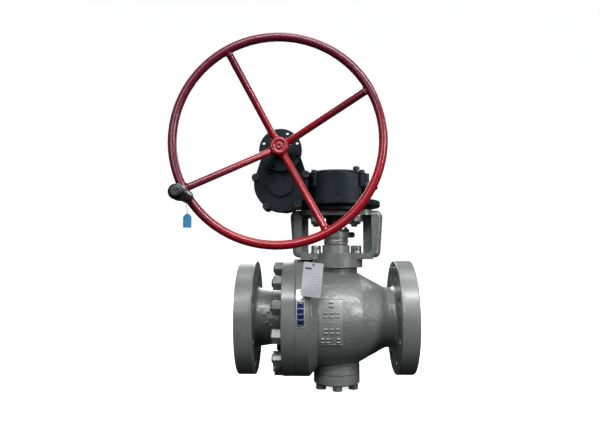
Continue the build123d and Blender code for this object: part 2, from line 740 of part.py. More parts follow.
with BuildPart() as gear_housing:
    # Mounting foot, flange, fan-shaped case round the quadrant, and the worm tunnel.
    ring_z(yoke_plate_top_z, housing_foot_z, 88)
    ring_z(housing_foot_z, housing_floor_z, mount_flange_r)
    chamfer(gear_housing.edges().filter_by(GeomType.CIRCLE).filter_by(
        lambda e: abs(e.radius - mount_flange_r) < 0.1), 2)
    fan_block(housing_floor_z, housing_rim_z, housing_r_left, housing_r_right)
    ring_y(tunnel_back_y, tunnel_front_y, tunnel_r)
    for side_sign in (-1, 1):
        with BuildSketch(along_x(40)) as stop_boss:
            with Locations((side_sign * stop_y, worm_axis_z)):
                Circle(13)
        extrude(stop_boss.sketch, amount=39)
    for lug_x, lug_y in cover_lugs:
        ring_z(housing_rim_z - 22, housing_rim_z, cover_lug_r, x=lug_x, y=lug_y)
    fan_block(housing_floor_z + 5, housing_rim_z, housing_r_left - wall, housing_r_right - wall,
              mode=Mode.SUBTRACT)
    ring_y(tunnel_back_y, tunnel_front_y, tunnel_bore_r, mode=Mode.SUBTRACT)
    ring_z(yoke_plate_top_z, housing_floor_z + 6, hub_journal_r + run_gap, mode=Mode.SUBTRACT)
    holes_z(yoke_plate_top_z, gearbox_stud_top_z, gearbox_stud_r + 0.1, gearbox_stud_circle_r, 4, 45)
    for side_sign in (-1, 1):
        with BuildSketch(along_x(35)) as stop_hole:
            with Locations((side_sign * stop_y, worm_axis_z)):
                Circle(stop_r + 0.1)
        extrude(stop_hole.sketch, amount=45, mode=Mode.SUBTRACT)
    for lug_x, lug_y in cover_lugs:
        ring_z(housing_rim_z - 16, housing_rim_z, 4.1, mode=Mode.SUBTRACT, x=lug_x, y=lug_y)
    tunnel_screw_holes(tunnel_back_y, tunnel_back_y - 13, tunnel_screw_r + 0.1)
    tunnel_screw_holes(tunnel_front_y + 13, tunnel_front_y, tunnel_screw_r + 0.1)
finish(gear_housing, "gear_housing")

with BuildPart() as gear_cover:
    fan_block(housing_rim_z, cover_plate_z, housing_r_left, housing_r_right)
    ring_z(cover_plate_z, housing_top_z, housing_r_right)
    chamfer(gear_cover.edges().filter_by(GeomType.CIRCLE).group_by(Axis.Z)[-1], 3)
    for lug_x, lug_y in cover_lugs:
        ring_z(housing_rim_z, cover_plate_z + 2, cover_lug_r, x=lug_x, y=lug_y)
    ring_z(housing_rim_z, housing_top_z, cover_lug_r, x=cover_lugs[0][0], y=0)
    for lug_x, lug_y in cover_lugs:
        ring_z(housing_rim_z, cover_plate_z + 2, 4.4, mode=Mode.SUBTRACT, x=lug_x, y=lug_y)
    ring_z(cover_plate_z + 2, housing_top_z, 7.5, mode=Mode.SUBTRACT, x=cover_lugs[0][0], y=0)
    ring_z(housing_rim_z, housing_rim_z + 14, hub_journal_r + run_gap, mode=Mode.SUBTRACT)
    ring_z(housing_rim_z, housing_top_z, 12, mode=Mode.SUBTRACT)
    ring_z(housing_top_z - 8, housing_top_z, 6.1, mode=Mode.SUBTRACT, x=vent_x)
    ring_y(tunnel_back_y + 30, tunnel_front_y - 30, tunnel_r + 0.2, mode=Mode.SUBTRACT)
finish(gear_cover, "gear_cover")

with BuildPart() as cover_screws:
    for lug_x, lug_y in cover_lugs:
        ring_z(housing_rim_z - 15, cover_plate_z + 2, 4.0, x=lug_x, y=lug_y)
        ring_z(cover_plate_z + 2, cover_plate_z + 8, 6.5, x=lug_x, y=lug_y)
        with BuildSketch(Plane(origin=(lug_x, lug_y, cover_plate_z + 8))) as socket:
            RegularPolygon(3, 6, major_radius=False)
        extrude(socket.sketch, amount=-4, mode=Mode.SUBTRACT)
finish(cover_screws, "cover_screws")

with BuildPart() as vent_plug:
    # Breather: threaded neck, waist and mushroom cap.
    ring_z(housing_top_z - 7, housing_top_z, 6, x=vent_x)
    ring_z(housing_top_z, housing_top_z + 11, 5.5, x=vent_x)
    ring_z(housing_top_z + 11, housing_top_z + 19, 8.5, x=vent_x)
    chamfer(vent_plug.edges().filter_by(GeomType.CIRCLE).group_by(Axis.Z)[-1], 2.5)
finish(vent_plug, "vent_plug")

with BuildPart() as stop_screws:
    for side_sign in (-1, 1):
        with BuildSketch(along_x(stop_tip_x)) as shank:
            with Locations((side_sign * stop_y, worm_axis_z)):
                Circle(stop_r)
        extrude(shank.sketch, amount=97 - stop_tip_x)
    chamfer(stop_screws.edges().filter_by(GeomType.CIRCLE).group_by(Axis.X)[-1], 3)
    for side_sign in (-1, 1):
        hexagon_x(79, 88, 19, side_sign * stop_y, worm_axis_z)
finish(stop_screws, "stop_screws")

with BuildPart() as worm_wheel:
    # Hub with two journals, web and a quadrant of helical teeth.
    root_r = wheel_pitch_r - 1.2 * worm_module
    tip_r = wheel_pitch_r + worm_module
    face_low = worm_axis_z - wheel_face_w / 2
    ring_z(262, housing_rim_z + 13, hub_journal_r)
    ring_z(housing_floor_z + 7, housing_rim_z - 1, 50)
    with BuildSketch(Plane.XY.offset(face_low)) as web:
        with BuildLine() as sector:
            start_point = on_circle(root_r, 180 - segment_margin)
            end_point = on_circle(root_r, 270 + segment_margin)
            Line((0, 0), start_point)
            CenterArc((0, 0), root_r, 180 - segment_margin, 90 + 2 * segment_margin)
            Line(end_point, (0, 0))
        make_face()
    extrude(amount=wheel_face_w)
    lead_turn = degrees(wheel_face_w / 2 * tan_lead / wheel_pitch_r)
    for tooth in range(first_tooth, last_tooth + 1):
        middle_angle = 180 + tooth * 360 / worm_wheel_teeth
        with BuildSketch(turned_z(face_low, middle_angle - lead_turn)):
            tooth_outline(wheel_pitch_r, worm_module, root_r, tip_r)
        with BuildSketch(turned_z(face_low + wheel_face_w, middle_angle + lead_turn)):
            tooth_outline(wheel_pitch_r, worm_module, root_r, tip_r)
        loft(ruled=True)
    ring_z(262, housing_rim_z + 13, sleeve_r + 0.02, mode=Mode.SUBTRACT)
    with BuildSketch(Plane(origin=(-22, 0, wheel_key_z))) as keyway:
        Rectangle(6.1, key_w + 0.1, align=(Align.MAX, Align.CENTER))
    extrude(keyway.sketch, amount=housing_rim_z + 13 - wheel_key_z, mode=Mode.SUBTRACT)
finish(worm_wheel, "worm_wheel")

with BuildPart() as indicator:
    # Spindle on the gear hub, with the position disc above the case.
    ring_z(302.1, housing_rim_z + 13, sleeve_r - 0.02)
    with BuildSketch(Plane(origin=(-22, 0, 302))) as keyway:
        Rectangle(6, key_w + 0.1, align=(Align.MAX, Align.CENTER))
    extrude(keyway.sketch, amount=housing_rim_z + 13 - 302, mode=Mode.SUBTRACT)
    ring_z(housing_rim_z + 13, housing_top_z + 1, 11.5)
    ring_z(housing_top_z + 1, housing_top_z + 5, 24)
    with BuildSketch(Plane(origin=(0, 0, housing_top_z + 5))) as pointer:
        Rectangle(44, 6)
    extrude(pointer.sketch, amount=2)
finish(indicator, "indicator")

# ============================================================ worm, bearings and end cap

with BuildPart() as upright_worm:
    # Right-hand thread, shoulders and shaft, drawn upright and then laid along Y.
    half_flank = tooth_fill * worm_pitch / 2
    buried = 1.6 * worm_module
    foot_half = half_flank + buried * tan(pressure_angle)
    tip_half = half_flank - worm_module * tan(pressure_angle)
    thread_low = -3.5 * worm_pitch
    with BuildLine() as path:
        Helix(pitch=worm_pitch, height=7 * worm_pitch, radius=worm_pitch_r, center=(0, 0, thread_low))
    thread_start = Plane(origin=(worm_pitch_r, 0, thread_low), x_dir=(1, 0, 0), z_dir=(0, -1, 0))
    with BuildSketch(thread_start) as section:
        Polygon((-buried, -foot_half), (worm_module, -tip_half), (worm_module, tip_half),
                (-buried, foot_half), align=None)
    sweep(section.sketch, path=path.line, is_frenet=True)
    ring_z(-60, -45, 50, mode=Mode.SUBTRACT)
    ring_z(45, 60, 50, mode=Mode.SUBTRACT)
    ring_z(-45, 45, worm_pitch_r - 1.2 * worm_module)
    ring_z(-62, -45, 20)
    ring_z(45, 66, 20)
    ring_z(-77.5, 121, shaft_r)
    with BuildSketch(Plane.XY.offset(99.9)) as keyway:
        with Locations((0, shaft_r)):
            Rectangle(5.1, 6)
    extrude(keyway.sketch, amount=21.1, mode=Mode.SUBTRACT)

with BuildPart() as worm:
    add(along_y(0).location * upright_worm.part)
finish(worm, "worm")

with BuildPart() as shaft_bearings:
    # Two on the worm's shaft, two bushes on the input shaft.
    ring_y(-66.1, -84, 32, shaft_r + run_gap)
    ring_y(78, 62.1, 32, shaft_r + run_gap)
    ring_y(-90, -96, 14, 10 + run_gap, z=input_axis_z)
    ring_y(-130, -148, 16, input_shaft_r + run_gap, z=input_axis_z)
finish(shaft_bearings, "shaft_bearings")

with BuildPart() as rear_cap:
    ring_y(tunnel_back_y + 8, tunnel_back_y, tunnel_r)
    ring_y(tunnel_back_y, 60, tunnel_bore_r - 0.05)
    chamfer(rear_cap.edges().filter_by(GeomType.CIRCLE).group_by(Axis.Y)[-1], 2)
    ring_y(78, 60, 32, mode=Mode.SUBTRACT)
    ring_y(82, 78, 20, mode=Mode.SUBTRACT)
    tunnel_screw_holes(tunnel_back_y + 8, tunnel_back_y, tunnel_screw_r + 0.1)
finish(rear_cap, "rear_cap")

# ============================================================ spur gear head

with BuildPart() as gear_head:
    head_block(tunnel_front_y, head_split_y, head_r, head_neck_r + 3)
    for angle in lug_angles:
        lug_x, lug_z = on_circle(lug_circle_r, angle)
        ring_y(tunnel_front_y, head_split_y, 9.5, x=worm_axis_x + lug_x, z=worm_axis_z + lug_z)
    ring_y(-60, tunnel_front_y, tunnel_bore_r - 0.05)
    head_block(head_inner_y, head_split_y, head_r - 8, head_neck_r - 3, mode=Mode.SUBTRACT)
    ring_y(-60, -84, 32, mode=Mode.SUBTRACT)
    ring_y(-84, head_inner_y, 20, mode=Mode.SUBTRACT)
    ring_y(-90, head_inner_y, 14, mode=Mode.SUBTRACT, z=input_axis_z)
    tunnel_screw_holes(tunnel_front_y, head_inner_y, tunnel_screw_r + 0.1)
    for angle in lug_angles:
        lug_x, lug_z = on_circle(lug_circle_r, angle)
        ring_y(head_split_y + 22, head_split_y, lug_screw_r + 0.1, mode=Mode.SUBTRACT,
               x=worm_axis_x + lug_x, z=worm_axis_z + lug_z)
finish(gear_head, "gear_head")

with BuildPart() as gear_head_cover:
    # Front plate, worm boss, and the input neck with its round flange.
    head_block(head_split_y, head_front_y, head_r, head_neck_r + 3)
    for angle in lug_angles:
        lug_x, lug_z = on_circle(lug_circle_r, angle)
        ring_y(head_split_y, head_front_y, 9.5, x=worm_axis_x + lug_x, z=worm_axis_z + lug_z)
    ring_y(head_front_y, head_front_y - 8, 28)
    ring_y(head_front_y, input_flange_y, head_neck_r, z=input_axis_z)
    ring_y(input_flange_y, input_flange_front_y, input_flange_r, z=input_axis_z)
    ring_y(head_split_y, head_front_y, shaft_r + 1, mode=Mode.SUBTRACT)
    ring_y(head_split_y, -130, 14, mode=Mode.SUBTRACT, z=input_axis_z)
    ring_y(-130, -148, 16, mode=Mode.SUBTRACT, z=input_axis_z)
    ring_y(-148, input_flange_front_y, input_shaft_r + 0.3, mode=Mode.SUBTRACT, z=input_axis_z)
    for index in range(8):
        hole_x, hole_z = on_circle(input_hole_circle_r, 22.5 + 45 * index)
        ring_y(input_flange_y, input_flange_front_y, input_hole_r, mode=Mode.SUBTRACT,
               x=worm_axis_x + hole_x, z=input_axis_z + hole_z)
    for angle in lug_angles:
        lug_x, lug_z = on_circle(lug_circle_r, angle)
        ring_y(head_split_y, head_front_y, lug_screw_r + 0.1, mode=Mode.SUBTRACT,
               x=worm_axis_x + lug_x, z=worm_axis_z + lug_z)
finish(gear_head_cover, "gear_head_cover")

with BuildPart() as head_screws:
    for angle in lug_angles:
        lug_x, lug_z = on_circle(lug_circle_r, angle)
        centre_x = worm_axis_x + lug_x
        centre_z = worm_axis_z + lug_z
        ring_y(head_split_y + 21, head_front_y, lug_screw_r, x=centre_x, z=centre_z)
        ring_y(head_front_y, head_front_y - 7, 7, x=centre_x, z=centre_z)
        with BuildSketch(along_y(head_front_y - 7, centre_x, centre_z)) as socket:
            RegularPolygon(3.5, 6, major_radius=False)
        extrude(socket.sketch, amount=-4, mode=Mode.SUBTRACT)
finish(head_screws, "head_screws")

with BuildPart() as tunnel_screws:
    # The same small screw holds the rear cap and, from inside, the gear head.
    tunnel_screw_holes(tunnel_back_y + 8, tunnel_back_y - 12, tunnel_screw_r, mode=Mode.ADD)
    tunnel_screw_holes(tunnel_back_y + 10.8, tunnel_back_y + 8, 4.2, mode=Mode.ADD)
    tunnel_screw_holes(tunnel_front_y + 12, head_inner_y, tunnel_screw_r, mode=Mode.ADD)
    tunnel_screw_holes(head_inner_y, head_inner_y - 2.8, 4.2, mode=Mode.ADD)
finish(tunnel_screws, "tunnel_screws")

with BuildPart() as spur_gear:
    with BuildSketch(along_y(-100)) as blank:
        Circle(spur_pitch_r - 1.2 * spur_module)
    extrude(blank.sketch, amount=18)
    for tooth in range(spur_teeth):
        with BuildSketch(turned_y(-100, worm_axis_z, 90 + tooth * 360 / spur_teeth)) as tooth_face:
            tooth_outline(spur_pitch_r, spur_module, spur_pitch_r - 1.2 * spur_module,
                          spur_pitch_r + spur_module)
        extrude(tooth_face.sketch, amount=18)
    ring_y(-100, -118, shaft_r + 0.02, mode=Mode.SUBTRACT)
    with BuildSketch(along_y(-100)) as keyway:
        with Locations((0, shaft_r)):
            Rectangle(5.1, 6)
    extrude(keyway.sketch, amount=18, mode=Mode.SUBTRACT)
finish(spur_gear, "spur_gear")

with BuildPart() as spur_key:
    with BuildSketch(along_y(-100)) as key_end:
        with Locations((0, shaft_r)):
            Rectangle(5, 5.9)
    extrude(key_end.sketch, amount=18)
finish(spur_key, "spur_key")

with BuildPart() as pinion_shaft:
    with BuildSketch(along_y(-99, z=input_axis_z)) as blank:
        Circle(pinion_pitch_r - 1.2 * spur_module)
    extrude(blank.sketch, amount=20)
    for tooth in range(pinion_teeth):
        with BuildSketch(turned_y(-99, input_axis_z, 270 + (tooth + 0.5) * 360 / pinion_teeth)) as tooth_face:
            tooth_outline(pinion_pitch_r, spur_module, pinion_pitch_r - 1.2 * spur_module,
                          pinion_pitch_r + spur_module)
        extrude(tooth_face.sketch, amount=20)
    ring_y(-90.3, -99, 10, z=input_axis_z)
    ring_y(-119, hub_y - hub_half_len, input_shaft_r, z=input_axis_z)
    pin_frame = Plane(origin=(worm_axis_x, hub_pin_y, input_axis_z))
    with BuildSketch(pin_frame) as pin_hole:
        Circle(hub_pin_r + 0.02)
    extrude(pin_hole.sketch, amount=30, both=True, mode=Mode.SUBTRACT)
finish(pinion_shaft, "pinion_shaft")

# ============================================================ handwheel and knob

with BuildPart() as handwheel:
    # Tubular rim, four dished spokes and a bored hub.
    rim_frame = along_y(rim_y, z=input_axis_z)
    with Locations(rim_frame):
        Torus(rim_centre_r, rim_tube_r)
    for angle in spoke_angles:
        out_x, out_z = on_circle(rim_centre_r, angle)
        reach = Vector(out_x, rim_y - hub_y, out_z)
        with BuildSketch(Plane(origin=(worm_axis_x, hub_y, input_axis_z), z_dir=reach)) as spoke_end:
            Circle(spoke_r)
        extrude(spoke_end.sketch, amount=reach.length)
    ring_y(hub_y + hub_half_len, hub_y - hub_half_len, hub_r, z=input_axis_z)
    ring_y(hub_y + hub_half_len, hub_y - hub_half_len, input_shaft_r + 0.02, mode=Mode.SUBTRACT,
           z=input_axis_z)
    with BuildSketch(Plane(origin=(worm_axis_x, hub_pin_y, input_axis_z))) as pin_hole:
        Circle(hub_pin_r + 0.02)
    extrude(pin_hole.sketch, amount=30, both=True, mode=Mode.SUBTRACT)
finish(handwheel, "handwheel")

with BuildPart() as hub_pin:
    with BuildSketch(Plane(origin=(worm_axis_x, hub_pin_y, input_axis_z))) as pin_end:
        Circle(hub_pin_r)
    extrude(pin_end.sketch, amount=hub_r - 0.5, both=True)
finish(hub_pin, "hub_pin")

with BuildPart() as knob_pin:
    # Collar seated on the rim's front, and a spindle whose catch snaps into the knob's groove.
    ring_y(rim_y, knob_base_y + 0.6, 11, x=knob_x, z=knob_z)
    ring_y(knob_base_y + 0.6, knob_pin_end_y, knob_pin_r, x=knob_x, z=knob_z)
    ring_y(knob_catch_y, knob_catch_y - 2, 6.5, x=knob_x, z=knob_z)
    with Locations(rim_frame):
        Torus(rim_centre_r, rim_tube_r + 0.02, mode=Mode.SUBTRACT)
finish(knob_pin, "knob_pin")

with BuildPart() as knob:
    # Round head on a tapered neck, closed at the end.
    knob_frame = Plane(origin=(knob_x, 0, knob_z), x_dir=(1, 0, 0), z_dir=(0, 0, 1))
    with BuildSketch(knob_frame) as knob_profile:
        Polygon((0, knob_base_y), (knob_neck_r, knob_base_y), (knob_r, knob_head_y),
                (knob_r, knob_end_y), (0, knob_end_y), align=None)
    revolve(knob_profile.sketch, axis=Axis((knob_x, 0, knob_z), (0, 1, 0)))
    fillet(knob.edges().filter_by(GeomType.CIRCLE).group_by(Axis.Y)[0], 8)
    chamfer(knob.edges().filter_by(GeomType.CIRCLE).group_by(Axis.Y)[-1], 1.5)
    ring_y(knob_base_y, knob_pin_end_y - 0.5, knob_pin_r + 0.3, mode=Mode.SUBTRACT, x=knob_x, z=knob_z)
    ring_y(knob_catch_y + 0.3, knob_catch_y - 2.3, 6.9, mode=Mode.SUBTRACT, x=knob_x, z=knob_z)
finish(knob, "knob")

# ============================================================ plate and tags

with BuildPart() as name_plate:
    # Blank curved plate on the body joint's rim, with a rivet head at each end.
    plate_r = joint_flange_r + 1
    seat_r = joint_flange_r + 0.05
    with BuildSketch(along_x(plate_x)) as plate:
        with BuildLine() as plate_edge:
            CenterArc((0, 0), plate_r, plate_start, plate_sweep)
            Line(on_circle(plate_r, plate_start + plate_sweep), on_circle(seat_r, plate_start + plate_sweep))
            CenterArc((0, 0), seat_r, plate_start + plate_sweep, -plate_sweep)
            Line(on_circle(seat_r, plate_start), on_circle(plate_r, plate_start))
        make_face(plate_edge.line)
    extrude(plate.sketch, amount=plate_w)
    for angle in (plate_start + 1.8, plate_start + plate_sweep - 1.8):
        rivet_y, rivet_z = on_circle(joint_flange_r + 0.6, angle)
        rivet_plane = Plane(origin=(plate_x + plate_w / 2, rivet_y, rivet_z), z_dir=(0, rivet_y, rivet_z))
        with BuildSketch(rivet_plane) as rivet:
            Circle(1.8)
        extrude(rivet.sketch, amount=1.6)
finish(name_plate, "name_plate")

tag_x_dir = (cos(radians(tag_tilt)), 0, sin(radians(tag_tilt)))
tag_frame = Plane(origin=tag_centre, x_dir=tag_x_dir, z_dir=(0, -1, 0))

with BuildPart() as white_tag:
    with BuildSketch(tag_frame) as card:
        RectangleRounded(tag_w, tag_h, 3)
        with Locations((0, tag_hole_y)):
            Circle(2.4, mode=Mode.SUBTRACT)
    extrude(card.sketch, amount=0.6)
finish(white_tag, "white_tag")

with BuildPart() as tag_wire:
    # Loop round the gland's neck, the run over the body's edge, and the ring through the card.
    loop_angle = 240
    loop_x, loop_y = on_circle(wire_loop_r, loop_angle)
    ring_centre = tag_frame.from_local_coords(Vector(0, tag_hole_y, 0.3)) + Vector(0, 0, wire_ring_r)
    with Locations(Plane(origin=(0, 0, wire_loop_z))):
        Torus(wire_loop_r, 0.7)
    with Locations(Plane(origin=ring_centre, z_dir=(1, 0, 0))):
        Torus(wire_ring_r, 0.7)
    with BuildLine() as run:
        FilletPolyline((loop_x, loop_y, wire_loop_z), (-22, -47, 178), (-29, -72, 162), (-40, -104, 155),
                       (-50, -134, 149), ring_centre + Vector(0, 0, wire_ring_r), radius=[20, 40, 60, 12])
    with BuildSketch(Plane(origin=run.line @ 0, z_dir=run.line % 0)) as run_end:
        Circle(0.5)
    sweep(run_end.sketch, path=run.line)
finish(tag_wire, "tag_wire")

with BuildPart() as tag_tie:
    # Loop round the knob's collar with a tail to the tag.
    tie_centre = Vector(knob_x, rim_y - 12.5, knob_z)
    with Locations(Plane(origin=tie_centre, z_dir=(0, -1, 0))):
        Torus(12, 0.9)
    tail_top = tie_centre + Vector(-1.5, 0, -11.9)
    tail_reach = Vector(3, 0, -24)
    with BuildSketch(Plane(origin=tail_top, z_dir=tail_reach)) as tail:
        Circle(0.6)
    extrude(tail.sketch, amount=tail_reach.length)
finish(tag_tie, "tag_tie")

with BuildPart() as blue_tag:
    tab_origin = (knob_x + 1.5, rim_y - 13.5, blue_tag_z)
    with BuildSketch(Plane(origin=tab_origin, x_dir=(1, 0, 0), z_dir=(0, -1, 0))) as card:
        Polygon((-8.5, -14), (8.5, -14), (8.5, 8), (3, 14), (-3, 14), (-8.5, 8), align=None)
    extrude(card.sketch, amount=0.8)
finish(blue_tag, "blue_tag")
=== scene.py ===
import math
import random

import bmesh
import bpy
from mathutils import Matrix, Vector
from mathutils.bvhtree import BVHTree


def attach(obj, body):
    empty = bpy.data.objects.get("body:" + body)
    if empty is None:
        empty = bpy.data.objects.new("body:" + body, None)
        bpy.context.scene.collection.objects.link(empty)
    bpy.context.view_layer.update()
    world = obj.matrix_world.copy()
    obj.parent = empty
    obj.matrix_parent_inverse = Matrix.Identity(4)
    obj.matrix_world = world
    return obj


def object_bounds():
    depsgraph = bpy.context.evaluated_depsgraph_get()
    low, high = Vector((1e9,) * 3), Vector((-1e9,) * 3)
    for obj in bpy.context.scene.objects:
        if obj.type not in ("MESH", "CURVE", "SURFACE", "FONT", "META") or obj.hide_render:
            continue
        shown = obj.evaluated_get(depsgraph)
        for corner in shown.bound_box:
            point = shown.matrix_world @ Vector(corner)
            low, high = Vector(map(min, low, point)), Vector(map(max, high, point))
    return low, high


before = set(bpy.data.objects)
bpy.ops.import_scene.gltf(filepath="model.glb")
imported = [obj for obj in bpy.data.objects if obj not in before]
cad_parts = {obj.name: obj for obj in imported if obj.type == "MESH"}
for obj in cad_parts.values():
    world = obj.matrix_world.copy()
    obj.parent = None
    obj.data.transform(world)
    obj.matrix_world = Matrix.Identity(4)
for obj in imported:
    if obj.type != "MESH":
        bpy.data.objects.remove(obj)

cad_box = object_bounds()
random.seed(7)

# Lengths are in metres: +X towards the body's own flange, +Z up the stem, -Y to the handwheel.
WORM_X = -0.129
INPUT_Z = 0.385
RIM_Y = -0.264
HUB_Y = -0.185
HUB_FRONT_Y = HUB_Y - 0.019
RIM_R = 0.2157
TUBE_R = 0.0093
RIM_WELD = TUBE_R + 0.0008
HUB_WELD = 0.0220
SPOKE_ANGLES = (29, 119, 208, 298)

AHEAD_Y = -0.4
PAD_X = (-0.0440, 0.0115)
PAD_Z = (-0.0515, 0.0515)
FINE_STEP = 0.0006

CAMERA_PLACE = (-0.0522, -1.3341, 0.1405)
CAMERA_UP_DEG = 4.784
CAMERA_LEFT_DEG = 1.613
LENS_MM = 31.99
SENSOR_MM = 36


# ------------------------------------------------------------------ shader helpers

class Shader:
    """A material under construction: its nodes are added by short calls that return sockets."""

    def __init__(self, name):
        self.material = bpy.data.materials.new(name)
        self.material.use_nodes = True
        self.nodes = self.material.node_tree.nodes
        self.links = self.material.node_tree.links
        self.nodes.clear()
        out = self.nodes.new("ShaderNodeOutputMaterial")
        self.surface = self.nodes.new("ShaderNodeBsdfPrincipled")
        self.links.new(self.surface.outputs["BSDF"], out.inputs["Surface"])
        self.place = self.nodes.new("ShaderNodeTexCoord").outputs["Object"]
        self.axes = None

    def set(self, **values):
        for key, value in values.items():
            self.surface.inputs[key.replace("_", " ")].default_value = value

    def feed(self, target, source):
        """Give a socket a number, a colour or a link."""
        if isinstance(source, (int, float)):
            target.default_value = source
        elif isinstance(source, tuple):
            target.default_value = source if len(source) == 4 else (*source, 1)
        else:
            self.links.new(source, target)

    def math(self, operation, a, b=0.0):
        node = self.nodes.new("ShaderNodeMath")
        node.operation = operation
        self.feed(node.inputs[0], a)
        self.feed(node.inputs[1], b)
        return node.outputs[0]

    def plus(self, a, b):
        return self.math("ADD", a, b)

    def minus(self, a, b):
        return self.math("SUBTRACT", a, b)

    def times(self, a, b):
        return self.math("MULTIPLY", a, b)

    def axis(self, letter):
        if self.axes is None:
            self.axes = self.nodes.new("ShaderNodeSeparateXYZ")
            self.links.new(self.place, self.axes.inputs[0])
        return self.axes.outputs[letter]

    def between(self, value, low, high, soft):
        """1 where value is from low to high, falling to 0 over soft on each side."""
        rise = self.ramp(value, low - soft, low)
        fall = self.ramp(value, high, high + soft)
        return self.times(rise, self.minus(1.0, fall))

    def stripes(self, value, gap, half):
        """1 on stripes as far apart as twice gap, each twice half wide. The 10 keeps the value above 0."""
        return self.math("LESS_THAN", self.math("PINGPONG", self.plus(value, 10.0), gap), half)

    def ramp(self, value, low, high, to_low=0.0, to_high=1.0):
        """A smooth step from to_low at low to to_high at high, level beyond them."""
        node = self.nodes.new("ShaderNodeMapRange")
        node.interpolation_type = "SMOOTHSTEP"
        self.feed(node.inputs["Value"], value)
        node.inputs["From Min"].default_value = low
        node.inputs["From Max"].default_value = high
        node.inputs["To Min"].default_value = to_low
        node.inputs["To Max"].default_value = to_high
        return node.outputs["Result"]

    def noise(self, scale, detail=3.0, rough=0.55, stretch=None, warp=0.0):
        node = self.nodes.new("ShaderNodeTexNoise")
        node.inputs["Scale"].default_value = scale
        node.inputs["Detail"].default_value = detail
        node.inputs["Roughness"].default_value = rough
        node.inputs["Distortion"].default_value = warp
        place = self.place
        if stretch:
            mapping = self.nodes.new("ShaderNodeMapping")
            mapping.inputs["Scale"].default_value = stretch
            self.links.new(self.place, mapping.inputs["Vector"])
            place = mapping.outputs["Vector"]
        self.links.new(place, node.inputs["Vector"])
        return node.outputs["Fac"]

    def mix(self, amount, a, b):
        node = self.nodes.new("ShaderNodeMix")
        node.data_type = "RGBA"
        self.feed(node.inputs["Factor"], amount)
        self.feed(node.inputs[6], a)
        self.feed(node.inputs[7], b)
        return node.outputs[2]

    def bump(self, height, distance, strength=1.0, normal=None):
        node = self.nodes.new("ShaderNodeBump")
        node.inputs["Distance"].default_value = distance
        node.inputs["Strength"].default_value = strength
        self.feed(node.inputs["Height"], height)
        if normal is not None:
            self.links.new(normal, node.inputs["Normal"])
        return node.outputs["Normal"]

    def finish(self, color, rough, normal=None):
        self.feed(self.surface.inputs["Base Color"], color)
        self.feed(self.surface.inputs["Roughness"], rough)
        if normal is not None:
            self.links.new(normal, self.surface.inputs["Normal"])
        return self.material


def scaled(color, factor):
    return tuple(channel * factor for channel in color)


# ------------------------------------------------------------------ materials

def grey_paint(name, cast, tone=1.0):
    """Grey paint over steel. cast says how lumpy it is, from 0 to 1: a number or a function of the shader."""
    s = Shader(name)
    s.set(Metallic=0.30, Coat_Weight=0.35, Coat_Roughness=0.20)
    cast = cast(s) if callable(cast) else cast
    broad = s.noise(14, 4, 0.6)
    lumps = s.noise(120, 4, 0.58, warp=0.4)
    grains = s.noise(520, 2, 0.5)
    shade = s.mix(broad, scaled((0.128, 0.140, 0.137), tone), scaled((0.215, 0.232, 0.226), tone))
    speckle = s.ramp(s.noise(900, 2, 0.5), 0.62, 0.72, 0.0, 0.35)
    shade = s.mix(speckle, shade, scaled((0.30, 0.32, 0.31), tone))
    dust = s.ramp(s.noise(36, 5, 0.7), 0.60, 0.80, 0.0, 0.5)
    shade = s.mix(dust, shade, scaled((0.105, 0.112, 0.108), tone))
    rough = s.plus(s.ramp(broad, 0.3, 0.7, 0.34, 0.44), s.times(cast, -0.05))
    height = s.plus(s.times(lumps, cast), s.times(grains, 0.10))
    normal = s.bump(height, 0.0022, 0.85)
    normal = s.bump(s.noise(260, 2, 0.5), 0.0003, 0.35, normal)
    return s.finish(shade, rough, normal)


def black_paint(name, lump=1.0):
    """Blue-black paint, rubbed paler in places. lump scales the waves of the casting under it."""
    s = Shader(name)
    s.set(Metallic=0.0, Specular_IOR_Level=0.24, Specular_Tint=(0.70, 0.86, 1.0, 1))
    s.set(Coat_Weight=0.03, Coat_Roughness=0.35)
    broad = s.noise(22, 4, 0.6)
    shade = s.mix(broad, (0.0022, 0.0032, 0.0048), (0.0055, 0.0075, 0.0100))
    rub = s.ramp(s.noise(75, 6, 0.75), 0.66, 0.80, 0.0, 0.6)
    shade = s.mix(rub, shade, (0.018, 0.022, 0.028))
    rough = s.ramp(s.noise(50, 3), 0.3, 0.7, 0.36, 0.52)
    normal = s.bump(s.noise(230, 4, 0.6, warp=0.5), 0.0010 * lump, 0.6)
    normal = s.bump(s.noise(900, 2), 0.0002, 0.4, normal)
    return s.finish(shade, rough, normal)


def red_enamel(name):
    """Dark red enamel with chips, painted darker towards the rim (painted shade) and brighter at the hub and
    on the wheel's lower right side (painted light).
    """
    s = Shader(name)
    s.set(Specular_IOR_Level=0.40, Coat_Weight=0.32, Coat_Roughness=0.14)
    x = s.minus(s.axis("X"), WORM_X)
    z = s.minus(s.axis("Z"), INPUT_Z)
    radius = s.math("SQRT", s.plus(s.times(x, x), s.times(z, z)))
    # Painted shade: the enamel darkens from the brightest red at the hub to a dark red at the rim.
    outer = s.ramp(radius, 0.02, 0.215)
    shade = s.mix(outer, (0.255, 0.003, 0.010), (0.105, 0.004, 0.019))
    # Painted light: the wheel's lower right side is painted a brighter red, standing in for the light it
    # catches.
    painted_lit_side = s.minus(s.times(x, 0.47), s.times(z, 0.88))
    shade = s.mix(s.ramp(painted_lit_side, 0.0, 0.150, 0.0, 0.85), shade, (0.300, 0.002, 0.008))
    dull = s.ramp(s.noise(30, 4, 0.6), 0.35, 0.75, 0.0, 0.35)
    shade = s.mix(dull, shade, (0.062, 0.004, 0.015))
    chips = s.ramp(s.noise(210, 6, 0.8), 0.77, 0.80)
    shade = s.mix(chips, shade, (0.055, 0.010, 0.014))
    rough = s.plus(s.ramp(s.noise(60, 3), 0.3, 0.7, 0.24, 0.36), s.times(chips, 0.3))
    normal = s.bump(s.noise(140, 3, 0.5), 0.0005, 0.5)
    normal = s.bump(s.minus(1.0, chips), 0.0002, 0.6, normal)
    return s.finish(shade, rough, normal)


